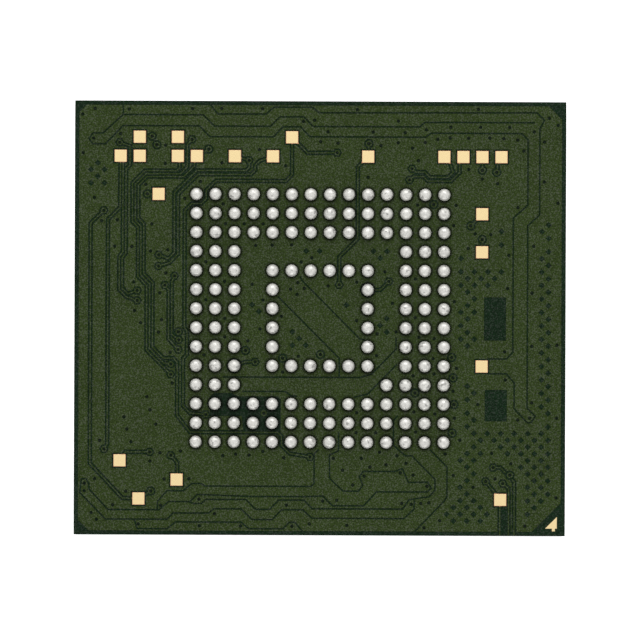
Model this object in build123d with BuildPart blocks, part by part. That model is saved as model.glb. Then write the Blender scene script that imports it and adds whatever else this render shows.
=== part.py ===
"""Fine-pitch ball grid array memory package, lying ball side up.

The moulded marking face rests on the floor at z = 0, and the balls point up. +X runs
along the long side, and the origin is the centre of the marking face. Places on the
ball side are written as (column, row) of the ball grid, column 0 at -X and row 0 at +Y,
and go on past the balls in the same steps.
"""
import os
from build123d import *

# Driving dimensions in millimetres
ball_pitch = 0.5
grid_count = 14
ball_diameter = 0.31
ball_opening = 0.27
ball_sides = 8
body_length = 12.9
body_width = 11.4
mould_height = 0.60
core_thickness = 0.10
copper_thickness = 0.015
mask_over_copper = 0.02
mask_relief = 0.01
gold_thickness = 0.004

# Copper layer of the ball side
plane_margin = 0.11
corner_cuts = (0.28, 0.76, 0.20, 0.35)
split_width = 0.035
track_width = 0.04
copper_clearance = 0.038
via_pad_diameter = 0.17
via_drill = 0.09
via_sides = 6
land_diameter = 0.34
pad_side = 0.32
pad_opening = 0.40

# Die stack, hung under the board from its inner face
die_length = 9.4
die_width = 8.2
die_thickness = 0.06
film_thickness = 0.015
die_count = 4
die_step = 0.35
stack_start = -5.0
controller_length = 3.4
controller_width = 2.6
controller_thickness = 0.07
controller_place = (-0.9, 1.6)
wire_thickness = 0.02
wire_loop = 0.055
flash_wire_count = 8
flash_wire_pitch = 0.62
controller_wire_count = 10
controller_wire_pitch = 0.28
bond_inset = 0.12
stitch_inset = 0.20
finger_length = 0.32
finger_width = 0.12
finger_margin = 0.05
flash_finger_x = -5.55
controller_finger_y = 4.75
inner_plane_size = (10.2, 8.7)
inner_plane_place = (0.35, 0)

# Levels, from the marking face up
inner_copper_z = mould_height + mask_over_copper
core_z = inner_copper_z + copper_thickness
copper_z = core_z + core_thickness
land_z = copper_z + copper_thickness
mask_z = land_z + mask_over_copper
ball_rise = ((ball_diameter / 2) ** 2 - (ball_opening / 2) ** 2) ** 0.5
ball_z = mask_z + ball_rise
grid_middle = (grid_count - 1) / 2

# The ball map, as seen from the ball side, top row first
ball_map = (
    "oooooooooooooo",
    "oooooooooooooo",
    "oooooooooooooo",
    "ooo........ooo",
    "ooo.oooooo.ooo",
    "ooo.o....o.ooo",
    "ooo.o....o.ooo",
    "ooo.o....o.ooo",
    "ooo.o....o.ooo",
    "ooo.oooooo.ooo",
    "ooo.......oooo",
    "oooooooooooooo",
    "oooooooooooooo",
    "oooooooooooooo",
)

# Square gold test pads, all on grid places outside the balls
test_pads = (
    (-3, -3), (-1, -3), (5, -3), (-4, -2), (-3, -2), (-1, -2), (0, -2), (2, -2),
    (4, -2), (9, -2), (13, -2), (14, -2), (15, -2), (16, -2), (-2, 0), (15, 1),
    (15, 3), (15, 9), (-4, 14), (-1, 15), (-3, 16), (16, 16),
)

# Hairline gaps that split the plane into supply areas
plane_splits = (
    # upper strips, from the outer one in
    ((0.45, -5.0), (1.1, -4.21), (3.62, -4.21), (4.05, -4.58), (6.07, -4.58), (6.42, -4.29),
     (17.86, -4.33), (18.25, -3.95), (18.01, -3.5), (18.01, 1.03), (17.39, 1.6),
     (17.39, 11.17), (17.82, 11.6), (17.6, 11.94), (17.4, 11.94), (16.71, 11.2),
     (16.71, 9.85), (16.3, 9.38), (15.3, 9.38)),
    ((-3.87, -5.0), (-3.87, -4.16), (0.33, -4.16), (0.93, -3.57), (3.86, -3.57),
     (4.35, -4.07), (5.62, -4.07), (6.1, -3.57), (11.7, -3.57), (11.97, -3.81),
     (17.75, -3.81)),
    ((-3.9, -4.14), (-4.93, -3.19), (-5.45, -3.19), (-5.67, -2.9), (-5.47, -2.62),
     (-4.8, -2.62), (-3.88, -3.58), (0.13, -3.58), (0.68, -3.02), (4.03, -3.02),
     (4.52, -3.55), (5.45, -3.55), (5.93, -3.03), (12.0, -3.03), (12.3, -3.24),
     (17.05, -3.24), (17.39, -2.92), (17.39, 0.52), (16.63, 1.2), (16.63, 8.25),
     (16.3, 8.6), (15.3, 8.6)),
    # lower strips, from the inner one out
    ((-5.6, 15.2), (-5.6, 15.5), (-4.6, 16.58), (-1.9, 16.58), (-1.42, 16.15),
     (-0.3, 16.15), (0.1, 15.77), (3.0, 15.87), (5.7, 15.87), (6.68, 15.83),
     (7.2, 16.34), (8.82, 16.34), (9.5, 15.6), (12.15, 15.6), (12.38, 15.4),
     (12.18, 15.08), (11.18, 15.1), (10.85, 14.38), (10.45, 14.53), (8.8, 14.53),
     (8.6, 14.8), (8.78, 15.25), (8.56, 15.57), (7.75, 15.57), (7.04, 14.9),
     (7.02, 13.68), (7.5, 13.45), (7.5, 12.5)),
    ((-0.4, 16.15), (-0.1, 16.25), (0.3, 16.25), (0.55, 16.03), (2.65, 16.03),
     (3.15, 16.54), (3.9, 16.54), (4.37, 16.05), (5.7, 16.05), (6.13, 16.5),
     (10.88, 16.5), (11.2, 16.02), (11.85, 15.9), (12.25, 15.86), (12.57, 15.5),
     (12.57, 14.93), (11.35, 13.7), (11.0, 13.7), (10.38, 13.15), (10.38, 11.85),
     (10.6, 11.6)),
    ((-5.6, 15.25), (-5.75, 14.97), (-6.0, 14.97), (-6.08, 15.7), (-4.73, 17.08),
     (-1.5, 17.08), (-1.17, 16.75), (0.7, 16.75), (0.95, 16.52), (2.4, 16.52),
     (2.97, 17.08), (4.03, 17.08), (4.52, 16.56), (5.63, 16.56), (6.12, 17.0),
     (10.95, 17.0), (11.47, 16.5), (11.5, 16.05)),
    ((-3.22, 17.08), (-3.05, 17.58), (-1.5, 17.58), (-1.05, 17.22), (2.4, 17.22),
     (2.8, 17.56), (4.6, 17.56), (4.92, 17.22), (5.22, 17.22), (5.8, 17.9)),
    # areas between the strips and the balls
    ((-2.0, 16.58), (-2.0, 16.15), (-1.5, 15.58), (-0.65, 15.58), (-0.2, 15.2),
     (0.3, 15.2), (0.5, 15.33), (6.08, 15.33), (6.22, 15.17), (6.22, 13.62),
     (6.45, 13.4)),
    ((11.3, 17.9), (13.03, 16.1), (13.2, 15.85), (13.2, 14.28), (12.3, 13.38)),
    # areas inside the ball ring
    ((5.45, 4.3), (5.55, 4.52), (8.6, 7.58), (8.85, 7.62)),
    ((4.3, 5.38), (7.52, 8.6), (7.52, 9.6)),
    ((1.42, 9.6), (8.6, 9.6), (9.22, 9.42), (10.5, 8.1), (10.5, 7.5)),
    ((2.45, 10.35), (4.7, 10.35), (5.0, 10.58), (5.3, 10.6)),
    ((10.55, 8.9), (9.02, 10.46), (8.3, 10.64)),
)

# Signal tracks, each from one via, pad or land to the next, or to the board's edge
tracks = (
    # up the left side
    ((-4.87, 0.87), (-5.56, 1.55), (-5.56, 14.15), (-3.85, 15.97), (-3, 16)),
    ((-4, -2), (-4.02, 0.72), (-4.65, 1.35), (-4.65, 13.15), (-4.82, 13.4)),
    ((-3.87, -2), (-3.87, 3.05), (-4.05, 3.3), (-4.05, 5.02), (-3.68, 5.42), (-3.1, 5.6)),
    ((-4.05, -2.7), (-3.5, -2.5), (-3.5, -1.52), (-3.71, -1.3), (-3.71, 3.12), (-3.9, 3.36),
     (-3.9, 4.94), (-3.6, 5.25), (-3.1, 5.08)),
    # the bus of three
    ((-0.9, -2), (-0.9, -1.37), (-1.05, -1.22), (-2.72, -1.22), (-3.37, -0.57),
     (-3.37, 1.45), (-3.07, 1.75), (-3.07, 4.33), (-2.606, 4.82), (-2.606, 8.2),
     (-1.33, 9.47)),
    ((-0.25, -2.87), (-0.5, -2.6), (-0.5, -1.42), (-0.86, -1.06), (-2.66, -1.06),
     (-3.22, -0.5), (-3.22, 1.4), (-2.92, 1.7), (-2.92, 4.25), (-2.45, 4.74),
     (-2.45, 8.12), (-1.7, 8.88), (-1.32, 8.93)),
    ((-0.12, -2), (-0.12, -1.48), (-0.69, -0.91), (-2.6, -0.91), (-3.06, -0.45),
     (-3.06, 1.27), (-2.77, 1.57), (-2.77, 4.18), (-2.295, 4.66), (-2.295, 8.05),
     (-1.72, 8.62), (-1.2, 8.62), (-0.99, 8.83), (-0.99, 11.62), (-0.3, 12.5),
     (4.3, 12.5), (4.5, 12.7), (4.5, 13.17), (4.93, 13.6), (6.0, 13.78)),
    # from the upper pads down beside the first column
    ((2, -2), (2.75, -1.78), (2.75, -1.4), (2.58, -1.24), (0.0, -1.24), (-1.165, -0.08),
     (-1.165, 3.08), (-1.48, 3.4), (-1.98, 3.2)),
    ((4, -2), (3.3, -1.75), (3.07, -1.52), (3.07, -1.27), (2.84, -1.04), (0.08, -1.04),
     (-0.977, 0.02), (-0.977, 3.16), (-1.42, 3.62), (-1.99, 3.79)),
    ((5, -3), (5, -1.03), (4.68, -0.7), (1.0, -0.7), (0.5, -0.2), (0.5, 0.25), (0.25, 0.5),
     (-0.25, 0.5), (-0.62, 0.87), (-0.62, 7.0), (-0.48, 7.2), (-0.48, 8.42), (-0.68, 8.64),
     (-0.68, 11.12), (-0.3, 11.5), (0.52, 11.57)),
    ((-1.655, 4.79), (-1.45, 5.05), (-1.45, 7.6), (-0.94, 8.17)),
    ((-1.145, 4.3), (-1.285, 4.6), (-1.285, 7.35), (-0.91, 7.66)),
    ((-4, 14), (-3.7, 13.55), (-2.42, 13.55)),
    ((-1.31, 13.72), (-0.97, 14.1), (-0.97, 15)),
    # towards the centre
    ((5, -3), (5.82, -2.18), (7.37, -2.2)),
    ((9, -2), (8.46, -1.46), (8.46, 2.32), (7.5, 3.28), (7.5, 4.74)),
    ((10.11, 4.55), (9.66, 5.0), (9, 5)),
    ((3.1, 8.8), (2.6, 8.8), (2, 9)),
    # the right-hand pads
    ((11.3, -1.37), (11.5, -1.2), (11.97, -1.2), (12.24, -0.93), (13.2, -0.93),
     (13.47, -1.2), (13.2, -1.9)),
    ((11.17, -0.78), (11.4, -0.97), (11.9, -0.97), (12.14, -0.73), (13.35, -0.73),
     (13.8, -1.18), (13.8, -1.9)),
    ((15.23, 15.03), (15.7, 15.6), (16, 16)),
    ((16.13, 15.14), (16.44, 15.4), (16.44, 18.2)),
    ((15.62, 14.3), (16.0, 14.3), (16.73, 15.05), (16.73, 18.2)),
    ((15.98, 16), (15.98, 18.2)),
)

# Signal vias, with a pad in a clear ring on each face of the board
signal_vias = (
    (-4.87, 0.87), (-4.82, 13.4), (-3.1, 5.6), (-3.1, 5.08), (-4.05, -2.7), (-0.25, -2.87),
    (2.75, -1.78), (-1.98, 3.2), (-1.99, 3.79), (0.52, 11.57), (-1.655, 4.79),
    (-0.94, 8.17), (-1.145, 4.3), (-0.91, 7.66), (-1.32, 8.93), (-1.33, 9.47),
    (-2.42, 13.55), (-1.31, 13.72), (7.5, 4.74), (10.11, 4.55), (7.37, -2.2),
    (11.3, -1.37), (11.17, -0.78), (16.13, 15.14), (15.62, 14.3), (15.23, 15.03),
    (3.1, 8.8), (6.0, 13.78),
)

# Openings in the plane: two bare windows, and places kept free of copper for routing
windows = (((15.12, 5.37), (16.26, 7.63)), ((15.17, 10.23), (16.32, 11.87)))
copper_free_areas = (
    ((0.75, 10.62), (0.97, 10.44), (1.9, 10.44), (2.15, 10.62), (4.3, 10.62),
     (4.45, 10.78), (4.45, 12.45), (2.5, 12.45), (2.42, 11.64), (0.75, 11.64)),
    ((16.04, 16.2), (16.38, 16.2), (16.38, 17.9), (16.04, 17.9)),
)
signal_lands = ((9, 5), (2, 9), (1, 11), (2, 11), (3, 11), (4, 11), (3, 12), (4, 12))

# The gold index triangle in the corner of the first ball, with its stub
index_triangle = ((18.36, 17.5), (18.98, 16.88), (18.98, 17.5))
index_stub = ((18.72, 17.48), (18.88, 17.64))


def site(place):
    """Millimetre position of a (column, row) place."""
    column, row = place
    return ((column - grid_middle) * ball_pitch, (grid_middle - row) * ball_pitch)


def ribbon(points, width):
    """A flat line of one width along a route of points, with mitred corners."""
    points = [Vector(*point) for point in points]
    runs = [(end - start).normalized() for start, end in zip(points, points[1:])]
    sides = [Vector(-run.Y, run.X) for run in runs]
    shifts = [
        (side + other) * (width / 2 / (1 + side.dot(other)))
        for side, other in zip(sides[:1] + sides, sides + sides[-1:])
    ]
    left = [point + shift for point, shift in zip(points, shifts)]
    right = [point - shift for point, shift in zip(points, shifts)]
    return Polygon(*left, *reversed(right), mode=Mode.PRIVATE)


def lines(routes, width):
    """One ribbon for each route of places."""
    return [ribbon(map(site, route), width) for route in routes]


def patch(*places):
    """A straight-sided area between places, or the rectangle between two of them."""
    if len(places) == 2:
        (left, top), (right, bottom) = places
        places = ((left, top), (right, top), (right, bottom), (left, bottom))
    return Polygon(*map(site, places), mode=Mode.PRIVATE)


def copies(shape, places):
    """The same flat shape at many places, given in millimetres."""
    return [Pos(*place) * shape for place in places]


def row(count, pitch):
    """Evenly spaced positions about zero."""
    return [(i - (count - 1) / 2) * pitch for i in range(count)]


def finish(part, name):
    """Label a finished piece and write its file."""
    part.label = name
    export_step(part, f"parts/{name}.step")


balls = [site((c, r)) for r, line in enumerate(ball_map) for c, mark in enumerate(line) if mark == "o"]
pads = [site(place) for place in test_pads]
vias = [site(place) for place in signal_vias]
lands = [site(place) for place in signal_lands]
private = Mode.PRIVATE
os.makedirs("parts", exist_ok=True)

# The conductors that run through cleared ground, bare and with their clearance
clear_width = track_width + 2 * copper_clearance
clear_pad = pad_side + 2 * copper_clearance
clear_via = via_pad_diameter / 2 + copper_clearance
clear_land = land_diameter / 2 + copper_clearance

with BuildSketch() as conductors:
    add(lines(tracks, track_width))
    add(copies(RegularPolygon(via_pad_diameter / 2, via_sides, mode=private), vias))
    add(copies(Rectangle(pad_side, pad_side, mode=private), pads))
    add(copies(RegularPolygon(land_diameter / 2, ball_sides, mode=private), lands))

with BuildSketch() as cleared:
    add(lines(tracks, clear_width))
    add(lines(plane_splits, split_width))
    add([patch(*places) for places in windows + copper_free_areas])
    add(copies(RegularPolygon(clear_via, via_sides, mode=private), vias))
    add(copies(Rectangle(clear_pad, clear_pad, mode=private), pads))
    add(copies(RegularPolygon(clear_land, ball_sides, mode=private), lands))

# The whole copper layer of the ball side
with BuildSketch() as ball_side_copper:
    Rectangle(body_length - 2 * plane_margin, body_width - 2 * plane_margin)
    outline_corners = ball_side_copper.vertices().group_by(Axis.Y)
    lower = outline_corners[0].sort_by(Axis.X)
    upper = outline_corners[-1].sort_by(Axis.X)
    for corner, cut in zip(lower + upper, corner_cuts):
        chamfer(corner, cut)
    add(cleared.sketch, mode=Mode.SUBTRACT)
    add(conductors.sketch)
    add([patch(*index_triangle), patch(*index_stub)])
    Rectangle(body_length, body_width, mode=Mode.INTERSECT)

# Where the mask is open, down to lands, pads and the index mark
with BuildSketch() as openings:
    with Locations(*balls):
        RegularPolygon(ball_opening / 2, ball_sides)
    with Locations(*pads):
        Rectangle(pad_opening, pad_opening)
    add([patch(*index_triangle), patch(*index_stub)])

# The etched ground, where the mask dips
with BuildSketch() as dips:
    Rectangle(body_length, body_width)
    add(ball_side_copper.sketch, mode=Mode.SUBTRACT)

with BuildPart() as bottom_copper:
    add(Pos(0, 0, copper_z) * ball_side_copper.sketch)
    extrude(amount=copper_thickness)
finish(bottom_copper.part, "bottom_copper")

with BuildPart() as bottom_solder_mask:
    with BuildSketch(Plane.XY.offset(copper_z)):
        Rectangle(body_length, body_width)
    extrude(amount=mask_z - copper_z)
    add(bottom_copper.part, mode=Mode.SUBTRACT)
    with BuildSketch(Plane.XY.offset(copper_z)):
        add(openings.sketch)
    extrude(amount=mask_z - copper_z, mode=Mode.SUBTRACT)
    with BuildSketch(Plane.XY.offset(mask_z - mask_relief)):
        add(dips.sketch)
    extrude(amount=mask_relief, mode=Mode.SUBTRACT)
finish(bottom_solder_mask.part, "bottom_solder_mask")

# The rest of the board: laminate, plated vias, and the copper and mask of its inner face
with BuildPart() as substrate_core:
    with BuildSketch(Plane.XY.offset(core_z)):
        Rectangle(body_length, body_width)
        with Locations(*vias):
            RegularPolygon(via_drill / 2, via_sides, mode=Mode.SUBTRACT)
    extrude(amount=core_thickness)
finish(substrate_core.part, "substrate_core")

with BuildPart() as via_barrels:
    with BuildSketch(Plane.XY.offset(core_z)):
        with Locations(*vias):
            RegularPolygon(via_drill / 2, via_sides)
    extrude(amount=core_thickness)
finish(via_barrels.part, "via_barrels")

flash_columns = row(flash_wire_count, flash_wire_pitch)
controller_x, controller_y = controller_place
controller_columns = [controller_x + x for x in row(controller_wire_count, controller_wire_pitch)]
flash_slot_width = (flash_wire_count - 1) * flash_wire_pitch + finger_width + 2 * finger_margin
controller_slot_length = (
    (controller_wire_count - 1) * controller_wire_pitch + finger_width + 2 * finger_margin
)
slot_depth = finger_length + 2 * finger_margin

with BuildPart() as top_copper:
    with BuildSketch(Plane.XY.offset(inner_copper_z)):
        with Locations(inner_plane_place):
            Rectangle(*inner_plane_size)
        with Locations(*vias):
            RegularPolygon(clear_via, via_sides, mode=Mode.SUBTRACT)
        with Locations(*vias):
            RegularPolygon(via_pad_diameter / 2, via_sides)
        with Locations(*[(flash_finger_x, y) for y in flash_columns]):
            Rectangle(finger_length, finger_width)
        with Locations(*[(x, controller_finger_y) for x in controller_columns]):
            Rectangle(finger_width, finger_length)
    extrude(amount=copper_thickness)
finish(top_copper.part, "top_copper")

with BuildPart() as finger_slots:
    with BuildSketch(Plane.XY.offset(mould_height)):
        with Locations((flash_finger_x, 0)):
            Rectangle(slot_depth, flash_slot_width)
        with Locations((controller_x, controller_finger_y)):
            Rectangle(controller_slot_length, slot_depth)
    extrude(amount=core_z - mould_height)

with BuildPart() as top_solder_mask:
    with BuildSketch(Plane.XY.offset(mould_height)):
        Rectangle(body_length, body_width)
    extrude(amount=core_z - mould_height)
    add(finger_slots.part, mode=Mode.SUBTRACT)
    add(top_copper.part, mode=Mode.SUBTRACT)
finish(top_solder_mask.part, "top_solder_mask")

# Shingled flash dies, each on its own film, and the wires that step down from die to die
inner_pieces = []
cascade = []
start = (flash_finger_x, inner_copper_z)
for level in range(die_count):
    die_x = stack_start + level * die_step
    film_z = mould_height - (level + 1) * film_thickness - level * die_thickness
    face_z = film_z - die_thickness
    with BuildPart() as flash_film:
        with Locations((die_x + die_length / 2, 0, film_z)):
            Box(die_length, die_width, film_thickness, align=(Align.CENTER, Align.CENTER, Align.MIN))
    with BuildPart() as flash_die:
        with Locations((die_x + die_length / 2, 0, face_z)):
            Box(die_length, die_width, die_thickness, align=(Align.CENTER, Align.CENTER, Align.MIN))
    finish(flash_film.part, f"flash_film_{level + 1}")
    finish(flash_die.part, f"flash_die_{level + 1}")
    inner_pieces += [flash_film.part, flash_die.part]
    bond_x = die_x + bond_inset
    cascade.append((
        start,
        (start[0], face_z - wire_thickness),
        (bond_x - wire_loop, face_z - wire_loop),
        (bond_x, face_z - wire_loop / 2),
        (bond_x, face_z),
    ))
    start = (die_x + stitch_inset, face_z)

with BuildPart() as flash_bond_wires:
    for y in flash_columns:
        with BuildSketch(Plane.XZ.offset(-y)):
            add([ribbon(route, wire_thickness) for route in cascade])
    extrude(amount=wire_thickness / 2, both=True)
finish(flash_bond_wires.part, "flash_bond_wires")

# The controller under the stack, wired to its own row of fingers
with BuildPart() as controller_film:
    with Locations((controller_x, controller_y, face_z)):
        Box(controller_length, controller_width, film_thickness,
            align=(Align.CENTER, Align.CENTER, Align.MAX))
with BuildPart() as controller_die:
    with Locations((controller_x, controller_y, face_z - film_thickness)):
        Box(controller_length, controller_width, controller_thickness,
            align=(Align.CENTER, Align.CENTER, Align.MAX))
finish(controller_film.part, "controller_film")
finish(controller_die.part, "controller_die")

controller_z = face_z - film_thickness - controller_thickness
bond_y = controller_y + controller_width / 2 - bond_inset
stack_edge = die_width / 2
controller_route = (
    (controller_finger_y, inner_copper_z),
    (controller_finger_y, (inner_copper_z + face_z) / 2),
    ((controller_finger_y + stack_edge) / 2, controller_z),
    (bond_y + wire_loop, controller_z - wire_loop),
    (bond_y, controller_z - wire_loop / 2),
    (bond_y, controller_z),
)
with BuildPart() as controller_bond_wires:
    for x in controller_columns:
        with BuildSketch(Plane.YZ.offset(x)):
            add(ribbon(controller_route, wire_thickness))
    extrude(amount=wire_thickness / 2, both=True)
finish(controller_bond_wires.part, "controller_bond_wires")
inner_pieces += [controller_film.part, controller_die.part]
inner_pieces += [flash_bond_wires.part, controller_bond_wires.part]

# The mould round all of that, flush with the board's sawn edges
with BuildPart() as mould_cap:
    Box(body_length, body_width, mould_height, align=(Align.CENTER, Align.CENTER, Align.MIN))
    add(finger_slots.part)
    add(top_copper.part, mode=Mode.SUBTRACT)
    add(inner_pieces, mode=Mode.SUBTRACT)
finish(mould_cap.part, "mould_cap")

# Gold plating on the pads and on the index mark
with BuildPart() as test_pad_gold:
    with BuildSketch(Plane.XY.offset(land_z)):
        with Locations(*pads):
            Rectangle(pad_side, pad_side)
    extrude(amount=gold_thickness)
finish(test_pad_gold.part, "test_pad_gold")

with BuildPart() as index_mark:
    with BuildSketch(Plane.XY.offset(land_z)):
        add([patch(*index_triangle), patch(*index_stub)])
    extrude(amount=gold_thickness)
finish(index_mark.part, "index_mark")

# One solder ball, wetted to its land and touching the rim of its opening, then all of them
ball_radius = ball_diameter / 2
rim_radius = ball_opening / 2
flare = (ball_radius - rim_radius) / ball_rise
shoulder = ball_radius * 2 ** -0.5
ball_rings = (
    (land_z, rim_radius - flare * mask_over_copper),
    (ball_z, ball_radius),
    (ball_z + shoulder, shoulder),
)
sections = [
    Pos(0, 0, level) * RegularPolygon(radius, ball_sides).face() for level, radius in ball_rings
]
with BuildPart() as ball:
    loft(sections + [Vertex(0, 0, ball_z + ball_radius)], ruled=True)
with BuildPart() as solder_balls:
    with Locations(*[(x, y, 0) for x, y in balls]):
        add(ball.part)
finish(solder_balls.part, "solder_balls")
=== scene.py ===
"""Fine-pitch ball grid array memory chip, ball side up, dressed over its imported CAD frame.

Run as a script it loads the frame, builds every piece and the stage, and finishes the
scene. It is laid out as an add-on: each group of pieces is an operator, and the sizes and
colours that a user would change are properties.
"""
import math

import bpy
import numpy as np
from bpy.props import FloatProperty, FloatVectorProperty, IntProperty, PointerProperty
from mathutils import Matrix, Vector
from mathutils.geometry import delaunay_2d_cdt


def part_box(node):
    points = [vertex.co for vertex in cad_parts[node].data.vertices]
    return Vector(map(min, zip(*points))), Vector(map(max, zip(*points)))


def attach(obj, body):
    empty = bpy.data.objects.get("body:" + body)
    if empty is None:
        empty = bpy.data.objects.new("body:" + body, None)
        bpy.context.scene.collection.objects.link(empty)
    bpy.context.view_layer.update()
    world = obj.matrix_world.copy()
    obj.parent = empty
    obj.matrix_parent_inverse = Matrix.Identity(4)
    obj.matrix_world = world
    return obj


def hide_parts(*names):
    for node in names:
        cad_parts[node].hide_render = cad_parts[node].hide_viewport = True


bl_info = {
    "name": "Memory Chip",
    "version": (1, 0, 0),
    "blender": (4, 5, 0),
    "location": "View3D > Sidebar > Chip",
    "description": "Builds a ball grid array memory chip over its packed frame",
    "category": "Object",
}

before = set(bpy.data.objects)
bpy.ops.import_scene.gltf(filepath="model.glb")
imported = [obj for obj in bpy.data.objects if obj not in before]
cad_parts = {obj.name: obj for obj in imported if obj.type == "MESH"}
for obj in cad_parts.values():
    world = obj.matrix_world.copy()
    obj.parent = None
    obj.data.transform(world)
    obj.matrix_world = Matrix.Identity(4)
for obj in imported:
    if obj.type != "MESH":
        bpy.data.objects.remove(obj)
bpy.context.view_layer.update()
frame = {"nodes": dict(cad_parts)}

# Levels worked out from the frame, in metres
MM = 0.001
mask_low, mask_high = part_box("bottom_solder_mask")
copper_low, copper_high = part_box("bottom_copper")
foot_z = copper_low.z
land_z = copper_high.z
mask_z = mask_high.z
gold_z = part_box("test_pad_gold")[1].z
ball_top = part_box("solder_balls")[1].z

# Numbers of the mask's levels, from its foot up
at_foot, at_land, in_pit, in_dip, on_slope, raised_level = range(6)

# The ball grid: column 0 is at -X, row 0 is at +Y, and places go on past the balls
grid_count = 14
ball_pitch = 0.5 * MM
grid_middle = (grid_count - 1) / 2
ball_map = (
    "oooooooooooooo",
    "oooooooooooooo",
    "oooooooooooooo",
    "ooo........ooo",
    "ooo.oooooo.ooo",
    "ooo.o....o.ooo",
    "ooo.o....o.ooo",
    "ooo.o....o.ooo",
    "ooo.o....o.ooo",
    "ooo.oooooo.ooo",
    "ooo.......oooo",
    "oooooooooooooo",
    "oooooooooooooo",
    "oooooooooooooo",
)
test_pads = (
    (-3, -3), (-1, -3), (5, -3), (-4, -2), (-3, -2), (-1, -2), (0, -2), (2, -2),
    (4, -2), (9, -2), (13, -2), (14, -2), (15, -2), (16, -2), (-2, 0), (15, 1),
    (15, 3), (15, 9), (-4, 14), (-1, 15), (-3, 16), (16, 16),
)
index_triangle = ((18.36, 17.5), (18.98, 17.5), (18.98, 16.88))
index_stub = ((18.72, 17.64), (18.88, 17.64), (18.88, 17.48), (18.72, 17.48))

# Vias with a pad in a clear ring, besides those that the frame holds, and their short links
ring_vias = (
    (-0.93, 7.24), (16.5, 14.7), (-2.35, -3.03), (0.63, -2.36), (-2.59, 0), (9.03, -2.68),
    (15, -1.3), (15.75, -1.2), (14.4, 1.62), (15, 2.33), (-2.35, 15.6), (2.6, 8.2),
    (6.53, 8.4), (3.57, 11.5), (11.5, 10.4), (13.42, 8.53), (13.5, 9.6), (13.55, 11.0),
    (13.46, 12.5), (12.45, 0.5), (4.55, 8.6), (-2.1, -2.58),
)
via_links = (
    ((-2.59, 0), (-2, 0)), ((9.03, -2.68), (9.03, -2)), ((15, -1.3), (15, -2)),
    ((15.75, -1.2), (15.85, -2)), ((15, 2.33), (15, 3)), ((14.4, 1.62), (15, 1)),
    ((-2.35, -3.03), (-3, -3)), ((0.63, -2.36), (0, -2)), ((-2.35, 15.6), (-3, 16)),
)

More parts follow.
